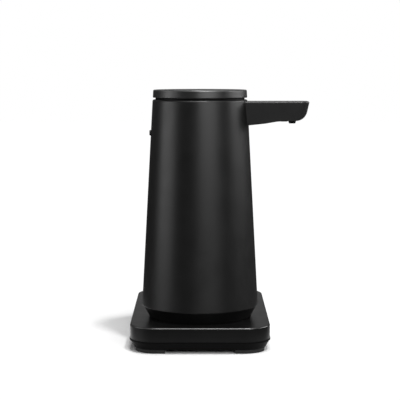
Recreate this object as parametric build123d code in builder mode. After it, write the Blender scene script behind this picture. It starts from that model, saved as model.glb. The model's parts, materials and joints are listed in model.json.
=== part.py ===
from build123d import *
from math import acos, atan2, cos, degrees, pi, radians, sin, sqrt, tan
import os

os.makedirs("parts", exist_ok=True)

# Automatic soap dispenser on its charging base. All lengths are millimetres.
# Z is up from the counter, the dispenser's axis is the Z axis, and its spout points along +X.

# Base, in plan
base_half_width = 53.5
base_front_reach = 54.0
base_rear_reach = 120.5
base_corner_radius = 20.0
base_wall = 2.2

# Base, in height
sole_stand = 3.0
pan_height = 6.4
deck_height = 10.9
deck_edge_round = 1.0
lip_proud = 0.4
lip_height = 1.0
pan_floor = 2.2
pan_bevel_height = 5.4
pan_bevel_inset = 3.1
pan_rim_height = 2.0
pan_rim_wall = 1.8

# Sole with its corner feet
sole_groove_depth = 0.6
foot_inset = 4.0
foot_length = 23.0
sole_web_inset = 21.0
sole_web_width = 8.0
sole_web_corner = 6.0

# Seat for the dispenser in the top of the base
seat_depth = 1.0
seat_gap = 1.0
seat_floor = 2.4

# Fits that many pieces share
slip_fit = 0.15
shaft_fit = 0.05
cut_overrun = 1.0

# Base screws and their bosses
base_boss_radius = 3.6
base_boss_inset = 13.0
base_post_radius = 4.4
tapping_shank_radius = 1.25
tapping_hole_radius = 1.55
tapping_head_radius = 2.6
tapping_head_height = 1.8
base_screw_length = 9.6
screw_drive_radius = 1.0
screw_drive_depth = 0.8

# Charging board and power inlet at the rear of the base
base_board_width = 44.0
base_board_length = 40.0
board_thickness = 1.6
base_board_post_radius = 2.5
base_board_post_height = 5.2
base_board_post_inset = 4.0
inlet_width = 8.94
inlet_height = 3.26
inlet_depth = 7.4
inlet_corner = 1.3
inlet_skin = 0.35
inlet_tongue_width = 6.6
inlet_tongue_height = 0.7
inlet_set_back = 0.4
charge_chip_size = 7.0
charge_chip_height = 1.4
coil_radius = 4.5
coil_height = 3.6

# Contact pins that charge the dispenser
pin_x = 8.0
pin_pitch = 8.0
pin_radius = 1.1
pin_collar_radius = 1.6
pin_collar_height = 1.0
pin_bore_radius = 1.8
pin_rise = 0.6
pin_tip_round = 0.4
pin_spring_space = 5.2
pin_spring_wire = 0.2
pin_spring_turns = 5
pin_housing_floor = 1.2
pin_housing_length = 17.0
pin_housing_width = 10.0
pin_nose_length = 14.0
pin_nose_width = 7.0

# Contact plates under the dispenser's foot
contact_radius = 2.6
contact_flange = 0.5
contact_proud = 0.1

# Dispenser casing
shell_bottom_radius = 45.6
shell_top_radius = 36.9
shell_height = 160.95
shell_wall = 2.0
shell_rim_round = 1.3
shell_foot_round = 0.7

# Undercut foot under the casing
foot_ring_proud = 0.4
foot_ring_depth = 0.8
foot_ring_width = 3.5
foot_ring_edge = 0.4
foot_undercut = 6.3
foot_height = 9.5
foot_top_inset = 0.7
cover_floor = 2.0
cover_wall = 1.8
cover_spigot = 6.2

# Inner frame
chassis_thickness = 3.0
chassis_gap = 0.2
pillar_radius = 3.0
pillar_wall_gap = 2.0
pillar_angle = 45.0
pillar_foot_height = 2.6
cover_screw_length = 14.0
chase_gap = 1.5
chase_half_width = 18.0
rear_notch_width = 6.0
rear_notch_depth = 6.5

# Gear train between motor and pump
gear_module = 0.6
pinion_teeth = 12
wheel_teeth = 36
idler_teeth = 12
rotor_teeth = 48
pressure_angle = 20.0
addendum_share = 0.8
dedendum_share = 1.05
tooth_play = 0.09
gear_side_gap = 0.6
wheel_width = 4.0
rotor_gear_width = 5.0
gear_hub_height = 2.4
gear_end_gap = 0.3

# Pump
pump_x = -10.0
pump_shaft_radius = 2.0
pump_height = 16.0
pump_roof = 2.0
pump_cover_thickness = 2.0
pump_wall = 4.0
pump_front = 12.0
track_radius = 18.0
squeezed_tube = 2.5
pump_tube_width = 8.0
tube_flat_run = 3.6
tube_change_run = 8.1
tube_end_out = 1.35
roller_radius = 4.0
roller_count = 3
roller_pin_radius = 1.0
roller_gap = 0.3
rotor_disc_thickness = 1.5
rotor_disc_radius = 13.4
rotor_hub_radius = 4.5
rotor_end_gap = 0.6
bearing_depth = 1.5
drive_post_radius = 2.4
drive_post_angle = 105.0
drive_post_set_back = 2.5
drive_ear_radius = 3.2
drive_rear_out = 0.5
drive_front_out = 1.2
drive_screw_radius = 1.2
drive_screw_grip = 8.0
drive_head_radius = 2.1
drive_head_height = 1.4

# Tubes that carry the soap
hose_radius = 2.7
hose_bore = 1.75
fitting_radius = 1.7
fitting_bore = 1.1
fitting_body_radius = 3.0
fitting_barb = 5.0
fitting_reach = 6.0
elbow_set_out = 6.0
riser_set_out = 3.5
riser_flange = 1.35
riser_wall_gap = 1.35
riser_drop = 6.7
riser_bend_limit = 12.0
hose_gap = 0.5
bend_run_share = 0.45

# Motor
motor_radius = 10.2
motor_flat_half_width = 7.75
motor_height = 27.0
motor_cap_height = 2.5
motor_skin = 0.8
motor_floor_gap = 4.6
motor_boss_radius = 3.0
motor_boss_height = 1.5
motor_shaft_radius = 1.0
armature_radius = 6.4
armature_height = 16.0
armature_slot = 1.4
armature_poles = 3
frame_plate = 2.0
motor_screw_spread = 6.0
motor_screw_radius = 0.9
motor_head_radius = 1.5
motor_head_height = 0.8

# Battery cell and its holder
cell_radius = 7.1
cell_button_radius = 2.6
cell_button_height = 1.0
holder_wall = 1.3
holder_floor = 2.8
holder_end_gap = 0.4
holder_end_wall = 2.2
holder_pillar_gap = 1.05
holder_rim_gap = 3.45

# Control board
control_board_post_gap = 2.95
control_board_bottom = 30.0
control_board_height = 40.0
board_wall_gap = 3.5
board_rail_depth = 1.2
board_rail_wall = 1.3
chip_size = 9.0
chip_height = 1.6
socket_length = 8.0
socket_depth = 5.0
socket_height = 6.0
socket_pitch = 8.0
capacitor_radius = 3.0
capacitor_height = 3.2

# Soap tank
tank_wall = 1.6
tank_shell_gap = 0.8
tank_root_gap = 5.15
tank_top_drop = 6.4
tank_channel_gap = 0.8
neck_flat_gap = 0.5
neck_wall = 1.5
neck_height = 7.5
outlet_height = 5.0

# Collar that closes the casing at the top
ring_skin = 2.0
collar_fit = 0.25
ring_flange_height = 2.6
ring_drop = 0.8
collar_height = 1.45
gasket_height = 1.6
gasket_width = 4.4
neck_gap = 0.3
lug_thickness = 2.4
lug_length = 14.2

# Lid
lid_inset = 0.2
lid_height = 6.1
lid_top_round = 1.0
lid_bottom_round = 0.5
lid_skin = 2.2
lid_skirt = 3.6
plug_wall = 1.8
plug_depth = 5.4
plug_gap = 0.9
plug_flange = 2.2
seal_height = 2.2
seal_groove = 0.5
seal_gap = 0.2

# Spout
spout_tip_x = 84.85
spout_top_drop = 1.35
spout_top_width = 25.0
spout_bottom_width = 20.0
spout_front_lean = 3.2
spout_root_height = 19.4
spout_mid_x = 50.0
spout_mid_height = 17.15
spout_pan_x = 60.0
spout_pan_height = 15.45
spout_end_height = 14.75
spout_smooth_radius = 25.0
spout_front_round = 9.6
spout_plan_round = 7.0
spout_edge_round = 1.0
spout_skin = 1.6
spout_roof = 1.8
spout_cover_skin = 1.8
spout_cover_margin = 1.5
spout_root_inset = 8.7
ear_depth = 3.4
ear_inner = 8.6
ear_outer = 14.4
ear_height = 14.0
ear_top_drop = 2.2
ear_screw_y = 11.8
ear_screw_drop = 9.0
ear_screw_radius = 1.2
ear_screw_length = 5.4
cover_boss_x = 48.0
cover_boss_y = 6.2
cover_boss_radius = 2.2
boss_screw_radius = 0.9
boss_screw_length = 6.0
boss_head_radius = 1.9
boss_head_height = 0.9
boss_head_seat = 0.7

# Nozzle and sensor under the spout's tip
nozzle_x = 71.8
nozzle_top_radius = 3.1
nozzle_tip_radius = 2.5
nozzle_proud = 2.2
nozzle_bore = 1.2
nozzle_flange_radius = 3.8
nozzle_flange_height = 0.8
elbow_radius = 3.2
elbow_height = 8.6
spigot_length = 6.5
window_x = 65.4
window_length = 5.4
window_width = 9.0
window_corner = 1.6
window_proud = 0.45
window_round = 0.4
window_flange = 0.8
window_flange_height = 0.6
sensor_board_length = 10.9
sensor_board_width = 9.0
sensor_board_thickness = 0.8
sensor_board_front = 3.0
emitter_radius = 1.1
emitter_height = 1.2
emitter_gap = 0.2
emitter_spread = 2.3
sensor_plug_length = 3.0
sensor_plug_width = 4.6
sensor_plug_height = 1.9
sensor_post_radius = 0.9
sensor_post_inset = 1.0

# Button at the rear of the casing
button_rise = 135.0
button_width = 8.0
button_tall = 4.1
button_proud = 1.05
button_fit = 0.15
button_travel = 0.8
button_flange_margin = 1.2
button_flange_thickness = 1.0
button_shell_gap = 0.3
button_edge_round = 0.4
switch_size = 5.0
switch_height = 1.5
switch_gap = 0.1
button_board_half_width = 7.0
button_board_tall = 14.0
rail_wall = 1.7
rail_bite = 0.8

# Leads
lead_radius = 1.1
thin_lead_radius = 0.9
lead_bend_limit = 30.0
lead_end_gap = 0.35
sensor_rise_gap = 6.0
button_lead_gap = 3.25

# Heights above the counter that follow from the sizes above
seam_height = sole_stand + pan_height
base_top = seam_height + deck_height
pan_floor_top = sole_stand + pan_floor
seat_height = base_top - seat_depth
cover_bottom = seat_height + foot_ring_proud
cover_floor_top = cover_bottom + cover_floor
shell_bottom = cover_bottom + foot_height
shell_top = shell_bottom + shell_height
motor_bottom = cover_floor_top + motor_floor_gap
can_bottom = motor_bottom + motor_cap_height
frame_bottom = can_bottom + motor_height
frame_top = frame_bottom + frame_plate
wheel_bottom = frame_top + gear_side_gap * 2
wheel_top = wheel_bottom + wheel_width
rotor_gear_bottom = wheel_top + gear_side_gap * 2
rotor_gear_top = rotor_gear_bottom + rotor_gear_width
pump_cover_bottom = rotor_gear_top + gear_hub_height + gear_end_gap
pump_bottom = pump_cover_bottom + pump_cover_thickness
pump_top = pump_bottom + pump_height
chassis_top = pump_top + chassis_thickness
tank_bottom = chassis_top
tank_top = shell_top - tank_top_drop
lid_bottom = shell_top + collar_height
lid_top = lid_bottom + lid_height
spout_top = shell_top - spout_top_drop

# Places in plan that follow
base_length = base_front_reach + base_rear_reach
base_middle = (base_rear_reach - base_front_reach) / 2
shell_slope = (shell_bottom_radius - shell_top_radius) / shell_height
foot_radius = shell_bottom_radius - foot_undercut
spout_root_x = shell_top_radius - spout_root_inset
tank_flat_x = spout_root_x - tank_root_gap
neck_radius = tank_flat_x - neck_flat_gap
chase_edge_x = tank_flat_x + chase_gap
elbow_x = pump_front + elbow_set_out
riser_start_x = pump_front + riser_set_out
idler_x = pump_x + (rotor_teeth + idler_teeth) * gear_module / 2
motor_x = idler_x + (wheel_teeth + pinion_teeth) * gear_module / 2
roller_orbit = track_radius - squeezed_tube - roller_gap - roller_radius
track_middle = track_radius - shaft_fit - squeezed_tube / 2
pump_outer_radius = track_radius + pump_wall
port_height = pump_bottom + (pump_height - pump_roof) / 2

LOW = (Align.CENTER, Align.CENTER, Align.MIN)
HIGH = (Align.CENTER, Align.CENTER, Align.MAX)


def shell_radius(height):
    """Outer radius of the tapered casing at a height above the counter."""
    return shell_bottom_radius - (height - shell_bottom) * shell_slope


def shell_bore(height):
    """Inner radius of the casing at a height above the counter."""
    return shell_radius(height) - shell_wall


def finish(piece, name):
    """Label a finished piece and write it."""
    piece.part.label = name
    export_step(piece.part, f"parts/{name}.step")


def base_outline(inset):
    """The base's rounded outline, drawn in the current sketch and moved inwards by inset."""
    with Locations((0, base_middle)):
        RectangleRounded(
            2 * (base_half_width - inset),
            base_length - 2 * inset,
            base_corner_radius - inset,
        )


def screw_solid(head_radius, head_height, shank_radius, length):
    """A screw that stands on its head and points up, with a round driving recess in the head."""
    with BuildPart() as screw:
        Cylinder(head_radius, head_height, align=LOW)
        with Locations((0, 0, head_height)):
            Cylinder(shank_radius, length, align=LOW)
        Cylinder(
            min(screw_drive_radius, shank_radius), screw_drive_depth, align=LOW, mode=Mode.SUBTRACT
        )
    return screw.part


def bend_radii(points, bend_limit):
    """Radius of each bend of a route: as large as its runs allow, up to the room there is."""
    vectors = [Vector(*point) for point in points]
    radii = []
    for before, corner, after in zip(vectors, vectors[1:], vectors[2:]):
        turn = radians((corner - before).get_angle(after - corner))
        shorter = min((corner - before).length, (after - corner).length)
        radii.append(min(shorter * bend_run_share / tan(turn / 2), bend_limit))
    return radii


def hose(name, points, outer_radius, bore_radius, bend_limit):
    """A tube or lead along straight runs joined by arcs. A bore radius of 0 makes it solid."""
    radii = bend_radii(points, bend_limit)
    print(name, "bend radii", [round(radius, 1) for radius in radii])
    with BuildPart() as tube:
        with BuildLine() as route:
            if radii:
                FilletPolyline(*points, radius=radii)
            else:
                Line(*points)
        with BuildSketch(Plane(origin=route.line @ 0, z_dir=route.line % 0)):
            Circle(outer_radius)
            if bore_radius > 0:
                Circle(bore_radius, mode=Mode.SUBTRACT)
        sweep(path=route.line)
    return tube.part


def tooth_half_angle(teeth, radius):
    """Half angle, in degrees, that one tooth covers at a radius: an involute above its base circle."""
    pitch_radius = teeth * gear_module / 2
    base_radius = pitch_radius * cos(radians(pressure_angle))
    at_pitch = (pi * gear_module / 2 - tooth_play) / 2 / pitch_radius
    involute_at_pitch = tan(radians(pressure_angle)) - radians(pressure_angle)
    slope = acos(base_radius / max(radius, base_radius))
    return degrees(at_pitch + involute_at_pitch - (tan(slope) - slope))


def gear_sketch(teeth, centre_x, first_angle):
    """A toothed wheel's outline: each flank is an arc through three points of its involute."""
    pitch_radius = teeth * gear_module / 2
    tip_radius = pitch_radius + addendum_share * gear_module
    root_radius = pitch_radius - dedendum_share * gear_module
    tooth_angle = 360 / teeth

    def place(radius, angle):
        return (centre_x + radius * cos(radians(angle)), radius * sin(radians(angle)))

    with BuildSketch() as outline:
        with BuildLine():
            for tooth in range(teeth):
                middle = first_angle + tooth * tooth_angle
                radii = (root_radius, pitch_radius, tip_radius)
                halves = [tooth_half_angle(teeth, radius) for radius in radii]
                up = [place(radius, middle - half) for radius, half in zip(radii, halves)]
                down = [place(radius, middle + half) for radius, half in zip(radii, halves)]
                ThreePointArc(*up)
                ThreePointArc(up[-1], place(tip_radius, middle), down[-1])
                ThreePointArc(*reversed(down))
                next_start = middle + tooth_angle - halves[0]
                gap_middle = middle + tooth_angle / 2
                ThreePointArc(down[0], place(root_radius, gap_middle), place(root_radius, next_start))
        make_face()
    return outline.sketch


# Base sole: four corner feet joined by a web, all flat on the counter
def sole_sketch(growth):
    """Outline of the sole in plan, grown all round by growth."""
    reach_x = base_half_width - foot_inset - foot_length / 2
    reach_y = base_length / 2 - foot_inset - foot_length / 2
    with BuildSketch() as sole:
        with Locations((0, base_middle)):
            with GridLocations(2 * reach_x, 2 * reach_y, 2, 2):
                Rectangle(foot_length + 2 * growth, foot_length + 2 * growth)
        with BuildSketch(mode=Mode.INTERSECT):
            base_outline(foot_inset - growth)
        with Locations((0, base_middle)):
            RectangleRounded(
                2 * (base_half_width - sole_web_inset + growth),
                base_length - 2 * (sole_web_inset - growth),
                sole_web_corner + growth,
            )
            Rectangle(
                2 * (base_half_width - sole_web_inset - sole_web_width - growth),
                base_length - 2 * (sole_web_inset + sole_web_width + growth),
                mode=Mode.SUBTRACT,
            )
    return sole.sketch


with BuildPart() as base_sole:
    add(sole_sketch(0))
    extrude(amount=sole_stand + sole_groove_depth)
finish(base_sole, "base_sole")

# Base screws stand in the corners, hidden by the feet
base_boss_x = base_half_width - base_boss_inset
base_boss_y = base_length / 2 - base_boss_inset
base_screw_bottom = sole_stand + sole_groove_depth
base_post_top = base_screw_bottom + tapping_head_height + base_wall - sole_groove_depth


def base_screw_places(height):
    """The four screw places of the base, at a height."""
    return [
        (x, base_middle + y, height)
        for x in (-base_boss_x, base_boss_x)
        for y in (-base_boss_y, base_boss_y)
    ]


with BuildPart() as base_screws:
    with Locations(*base_screw_places(base_screw_bottom)):
        add(screw_solid(tapping_head_radius, tapping_head_height, tapping_shank_radius, base_screw_length))
finish(base_screws, "base_screws")

# Lower housing of the base
pan_pocket_inset = max(base_wall + slip_fit + pan_rim_wall, base_wall + pan_bevel_inset)
base_board_rear = base_rear_reach - pan_pocket_inset - inlet_set_back
base_board_middle = base_board_rear - base_board_length / 2
board_post_x = base_board_width / 2 - base_board_post_inset
board_post_y = base_board_length / 2 - base_board_post_inset
base_board_bottom = pan_floor_top + base_board_post_height
base_board_top = base_board_bottom + board_thickness
pin_housing_bottom = pan_floor_top + pin_housing_floor * 2
with BuildPart() as base_pan:
    with BuildSketch(Plane.XY.offset(sole_stand)):
        base_outline(pan_bevel_inset)
    with BuildSketch(Plane.XY.offset(sole_stand + pan_bevel_height)):
        base_outline(0)
    loft(ruled=True)
    with BuildSketch(Plane.XY.offset(sole_stand + pan_bevel_height)):
        base_outline(0)
    extrude(amount=pan_height - pan_bevel_height)
    with BuildSketch(Plane.XY.offset(seam_height - lip_height)):
        base_outline(-lip_proud)
    extrude(amount=lip_height)
    with BuildSketch(Plane.XY.offset(seam_height)):
        base_outline(base_wall + slip_fit)
    extrude(amount=pan_rim_height)
    with BuildSketch(Plane.XY.offset(pan_floor_top)):
        base_outline(pan_pocket_inset)
    extrude(amount=pan_height + pan_rim_height, mode=Mode.SUBTRACT)
    with Locations(*base_screw_places(pan_floor_top)):
        Cylinder(base_post_radius, base_post_top - pan_floor_top, align=LOW)
    with Locations((0, base_board_middle, pan_floor_top)):
        with GridLocations(2 * board_post_x, 2 * board_post_y, 2, 2):
            Cylinder(base_board_post_radius, base_board_post_height, align=LOW)
    with Locations((pin_x, 0, pan_floor_top)):
        Box(pin_housing_width, pin_housing_length, pin_housing_floor * 2, align=LOW)
    with BuildSketch(Plane.XY.offset(sole_stand)):
        add(sole_sketch(slip_fit))
    extrude(amount=sole_groove_depth, mode=Mode.SUBTRACT)
    with Locations(*base_screw_places(sole_stand)):
        Cylinder(tapping_hole_radius, pan_height + pan_rim_height, align=LOW, mode=Mode.SUBTRACT)
        Cylinder(
            tapping_head_radius + slip_fit,
            sole_groove_depth + tapping_head_height,
            align=LOW,
            mode=Mode.SUBTRACT,
        )
finish(base_pan, "base_pan")

# Upper housing of the base, with the round seat
seat_radius = foot_radius + seat_gap
inlet_middle = base_board_top + inlet_height / 2
with BuildPart() as base_shell:
    with BuildSketch(Plane.XY.offset(seam_height)):
        base_outline(0)
    extrude(amount=deck_height)
    fillet(base_shell.edges().group_by(Axis.Z)[-1], deck_edge_round)
    with BuildSketch(Plane.XY.offset(seam_height)):
        base_outline(base_wall)
    extrude(amount=deck_height - base_wall, mode=Mode.SUBTRACT)
    with Locations((0, 0, seat_height - seat_floor)):
        Cylinder(seat_radius + base_wall, seat_floor, align=LOW)
    with Locations((0, 0, seat_height)):
        Cylinder(seat_radius, seat_depth, align=LOW, mode=Mode.SUBTRACT)
    with Locations(*base_screw_places(base_post_top)):
        Cylinder(base_boss_radius, base_top - base_wall - base_post_top, align=LOW)
        Cylinder(
            tapping_shank_radius,
            base_screw_length,
            align=LOW,
            mode=Mode.SUBTRACT,
        )
    with Locations((pin_x, 0, seat_height)):
        Box(
            pin_nose_width + 2 * slip_fit,
            pin_nose_length + 2 * slip_fit,
            2 * seat_floor + cut_overrun,
            mode=Mode.SUBTRACT,
        )
    with BuildSketch(Plane.XZ.offset(-base_rear_reach)):
        with Locations((0, inlet_middle)):
            RectangleRounded(
                inlet_width + 2 * slip_fit, inlet_height + 2 * slip_fit, inlet_corner + slip_fit
            )
    extrude(amount=base_wall + cut_overrun, mode=Mode.SUBTRACT)
finish(base_shell, "base_shell")

# Charging board, with its chip, coil and lead socket
with BuildPart() as base_board:
    with Locations((0, base_board_middle, base_board_bottom)):
        Box(base_board_width, base_board_length, board_thickness, align=LOW)
    with Locations((-base_board_width / 4, base_board_middle, base_board_top)):
        Box(charge_chip_size, charge_chip_size, charge_chip_height, align=LOW)
    with Locations((base_board_width / 4, base_board_middle, base_board_top)):
        Cylinder(coil_radius, coil_height, align=LOW)
    with Locations((0, base_board_middle - base_board_length / 2, base_board_top)):
        Box(socket_length, socket_depth, inlet_height, align=(Align.CENTER, Align.MIN, Align.MIN))
finish(base_board, "base_board")

# Power inlet: a metal shell round a tongue, open to the rear
inlet_mouth = base_rear_reach - inlet_set_back
with BuildPart() as power_inlet:
    with BuildSketch(Plane.XZ.offset(-inlet_mouth)):
        with Locations((0, inlet_middle)):
            RectangleRounded(inlet_width, inlet_height, inlet_corner)
    extrude(amount=inlet_depth)
    with BuildSketch(Plane.XZ.offset(-inlet_mouth)):
        with Locations((0, inlet_middle)):
            RectangleRounded(
                inlet_width - 2 * inlet_skin, inlet_height - 2 * inlet_skin, inlet_corner - inlet_skin
            )
    extrude(amount=inlet_depth - inlet_skin, mode=Mode.SUBTRACT)
    with Locations((0, inlet_mouth - inlet_depth / 2, inlet_middle)):
        Box(inlet_tongue_width, inlet_depth - 2 * inlet_skin, inlet_tongue_height)
finish(power_inlet, "power_inlet")

# Contact pins, their springs and the block that guides them
pin_top = cover_bottom - contact_proud
pin_collar_bottom = pin_housing_bottom + pin_housing_floor + pin_spring_space
pin_collar_top = pin_collar_bottom + pin_collar_height
pin_places = [(pin_x, -pin_pitch / 2), (pin_x, pin_pitch / 2)]
with BuildPart() as pin_housing:
    with Locations((pin_x, 0, pin_housing_bottom)):
        Box(
            pin_housing_width,
            pin_housing_length,
            seat_height - seat_floor - pin_housing_bottom,
            align=LOW,
        )
    with Locations((pin_x, 0, seat_height)):
        Box(pin_nose_width, pin_nose_length, seat_floor, align=HIGH)
    with Locations(*[(x, y, seat_height) for x, y in pin_places]):
        Cylinder(
            pin_radius + shaft_fit,
            seat_height - pin_collar_top,
            align=HIGH,
            mode=Mode.SUBTRACT,
        )
    with Locations(*[(x, y, pin_housing_bottom + pin_housing_floor) for x, y in pin_places]):
        Cylinder(
            pin_bore_radius,
            pin_spring_space + pin_collar_height + pin_rise,
            align=LOW,
            mode=Mode.SUBTRACT,
        )
finish(pin_housing, "pin_housing")

for number, (x, y) in enumerate(pin_places, start=1):
    with BuildPart() as charge_pin:
        with Locations((x, y, pin_collar_bottom)):
            Cylinder(pin_collar_radius, pin_collar_height, align=LOW)
            Cylinder(pin_radius, pin_top - pin_collar_bottom, align=LOW)
        fillet(charge_pin.edges().group_by(Axis.Z)[-1], pin_tip_round)
    finish(charge_pin, f"charge_pin_{number}")

    spring_radius = pin_collar_radius - pin_spring_wire
    spring_height = pin_spring_space - 2 * pin_spring_wire
    with BuildPart() as pin_spring:
        with BuildLine() as coil:
            Helix(
                spring_height / pin_spring_turns,
                spring_height,
                spring_radius,
                center=(x, y, pin_housing_bottom + pin_housing_floor + pin_spring_wire),
            )
        with BuildSketch(Plane(origin=coil.line @ 0, z_dir=coil.line % 0)):
            Circle(pin_spring_wire)
        sweep(path=coil.line, is_frenet=True)
    finish(pin_spring, f"pin_spring_{number}")

# Lead from the charging board to the contact pins
base_lead_start = base_board_middle - base_board_length / 2
base_lead_high = base_board_top + inlet_height / 2
base_lead_low = pin_housing_bottom + pin_housing_floor + lead_radius
base_lead_route = [
    (0, base_lead_start, base_lead_high),
    (0, base_lead_start - socket_length, base_lead_high),
    (pin_x / 2, base_lead_start - 2 * socket_length, base_lead_low),
    (pin_x, pin_housing_length, base_lead_low),
    (pin_x, pin_housing_length / 2, base_lead_low),
]
with BuildPart() as base_lead:
    add(hose("base_lead", base_lead_route, lead_radius, 0, base_board_width))
finish(base_lead, "base_lead")

# Tapered casing, with a window for the spout, a hole for the button and rails for its board


spout_runs = [
    (spout_root_x, spout_root_height),
    (spout_mid_x, spout_mid_height),
    (spout_pan_x, spout_pan_height),
    (spout_tip_x - spout_front_lean, spout_end_height),
]


def spout_under(x):
    """Height above the counter of the spout's underside at x, on its straight runs."""
    for (near_x, near_drop), (far_x, far_drop) in zip(spout_runs, spout_runs[1:]):
        if x <= far_x:
            return spout_top - near_drop - (far_drop - near_drop) * (x - near_x) / (far_x - near_x)
    return spout_top - spout_end_height


spout_side_slope = (spout_top_width - spout_bottom_width) / 2 / spout_root_height
spout_front_slope = spout_front_lean / spout_end_height


def spout_plan(inset):
    """A tall block with the spout's rounded tip, its sides and tip leaning as the spout's do."""
    with BuildPart() as block:
        for rise in (-2 * spout_root_height, 2 * spout_root_height):
            half = spout_top_width / 2 - inset + spout_side_slope * rise
            tip = spout_tip_x - inset + spout_front_slope * rise
            sides = [(spout_root_x, -half), (tip, -half), (tip, half), (spout_root_x, half)]
            with BuildSketch(Plane.XY.offset(spout_top + rise)):
                with BuildLine():
                    FilletPolyline(*sides, radius=spout_plan_round - inset)
                    Line(sides[-1], sides[0])
                make_face()
        loft(ruled=True)
    return block.part


def spout_form(inset, roof, floor):
    """The spout's form, moved inwards by inset at sides and tip, by roof at its top, by floor below."""
    low = spout_top + floor
    corners = [
        (spout_root_x, spout_top - roof),
        (spout_tip_x - inset - spout_front_slope * roof, spout_top - roof),
        (
            spout_tip_x - inset - spout_front_slope * (spout_end_height - floor),
            low - spout_end_height,
        ),
        (spout_pan_x, low - spout_pan_height),
        (spout_mid_x, low - spout_mid_height),
        (spout_root_x, low - spout_root_height),
    ]
    rounds = [0, spout_front_round - inset, spout_smooth_radius, spout_smooth_radius]
    with BuildPart() as form:
        with BuildSketch(Plane.XZ):
            with BuildLine():
                FilletPolyline(*corners, radius=rounds)
                Line(corners[-1], corners[0])
            make_face()
        extrude(amount=spout_top_width, both=True)
        add(spout_plan(inset), mode=Mode.INTERSECT)
    return form.part


button_z = shell_bottom + button_rise
button_flange_half_width = button_width / 2 + button_flange_margin
button_flange_top = button_z + button_tall / 2 + button_flange_margin
button_flange_x = sqrt(shell_bore(button_flange_top) ** 2 - button_flange_half_width**2) - button_shell_gap
button_back_x = button_flange_x - button_flange_thickness
button_board_x = button_back_x - button_travel - switch_gap - switch_height
rail_outer_y = button_board_half_width + slip_fit + rail_wall
with BuildPart() as casing_profile:
    with BuildSketch(Plane.XZ):
        with BuildLine():
            Polyline(
                (shell_bottom_radius, shell_bottom),
                (shell_top_radius, shell_top),
                (shell_top_radius - shell_wall, shell_top),
                (shell_bottom_radius - shell_wall, shell_bottom),
                close=True,
            )
        make_face()
    revolve(axis=Axis.Z)
with BuildPart() as bore_core:
    with BuildSketch(Plane.XZ):
        with BuildLine():
            Polyline(
                (0, shell_bottom),
                (shell_bottom_radius - shell_wall / 2, shell_bottom),
                (shell_top_radius - shell_wall / 2, shell_top),
                (0, shell_top),
                close=True,
            )
        make_face()
    revolve(axis=Axis.Z)
with BuildPart() as button_rails:
    with Locations((-button_board_x + board_thickness + rail_bite, 0, button_z)):
        Box(
            shell_bottom_radius,
            2 * rail_outer_y,
            button_board_tall,
            align=(Align.MAX, Align.CENTER, Align.CENTER),
        )
        Box(
            shell_bottom_radius,
            2 * (button_board_half_width - rail_bite),
            button_board_tall,
            align=(Align.MAX, Align.CENTER, Align.CENTER),
            mode=Mode.SUBTRACT,
        )
    with Locations((-button_board_x - slip_fit, 0, button_z)):
        Box(
            board_thickness + 2 * slip_fit,
            2 * (button_board_half_width + slip_fit),
            button_board_tall,
            align=(Align.MIN, Align.CENTER, Align.CENTER),
            mode=Mode.SUBTRACT,
        )
    add(bore_core.part, mode=Mode.INTERSECT)
with BuildPart() as body_shell:
    add(casing_profile.part)
    fillet(body_shell.edges().filter_by(GeomType.CIRCLE).group_by(Axis.Z)[-1].sort_by(SortBy.RADIUS)[-1],
           shell_rim_round)
    fillet(body_shell.edges().filter_by(GeomType.CIRCLE).group_by(Axis.Z)[0].sort_by(SortBy.RADIUS)[-1],
           shell_foot_round)
    add(button_rails.part)
    add(spout_form(-slip_fit, -slip_fit, -slip_fit), mode=Mode.SUBTRACT)
    with BuildSketch(Plane.YZ.offset(-shell_bottom_radius)):
        with Locations((0, button_z)):
            SlotOverall(button_width + 2 * button_fit, button_tall + 2 * button_fit)
    extrude(amount=shell_bottom_radius / 2, mode=Mode.SUBTRACT)
finish(body_shell, "body_shell")

# Button, with the flange that keeps it in, and the board with its switch behind it
button_face_x = shell_radius(button_z) + button_proud
with BuildPart() as button:
    with BuildSketch(Plane.YZ.offset(-button_face_x)):
        with Locations((0, button_z)):
            SlotOverall(button_width, button_tall)
    extrude(amount=button_face_x - button_flange_x)
    fillet(button.edges().group_by(Axis.X)[0], button_edge_round)
    with BuildSketch(Plane.YZ.offset(-button_flange_x)):
        with Locations((0, button_z)):
            SlotOverall(2 * button_flange_half_width, button_tall + 2 * button_flange_margin)
    extrude(amount=button_flange_thickness)
finish(button, "button")

with BuildPart() as button_board:
    with Locations((-button_board_x, 0, button_z)):
        Box(
            board_thickness,
            2 * button_board_half_width,
            button_board_tall,
            align=(Align.MIN, Align.CENTER, Align.CENTER),
        )
        Box(switch_height, switch_size, switch_size, align=(Align.MAX, Align.CENTER, Align.CENTER))
finish(button_board, "button_board")

# Undercut foot that closes the casing, with its rubber ring, screws and contact plates
foot_slope = (shell_bottom_radius - foot_top_inset - foot_radius) / foot_height
spigot_top = shell_bottom + cover_spigot
pillar_ring_radius = shell_bore(chassis_top) - pillar_radius - pillar_wall_gap
foot_ring_outer = pillar_ring_radius - tapping_head_radius - slip_fit - foot_ring_edge


def cover_inner(height):
    """Inner radius of the cover's cone at a height above the counter."""
    low_radius = foot_radius + foot_slope * cover_floor - cover_wall
    high_radius = shell_bore(shell_bottom) - slip_fit - cover_wall
    share = (height - cover_floor_top) / (shell_bottom - cover_floor_top)
    return low_radius + (high_radius - low_radius) * share


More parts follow.
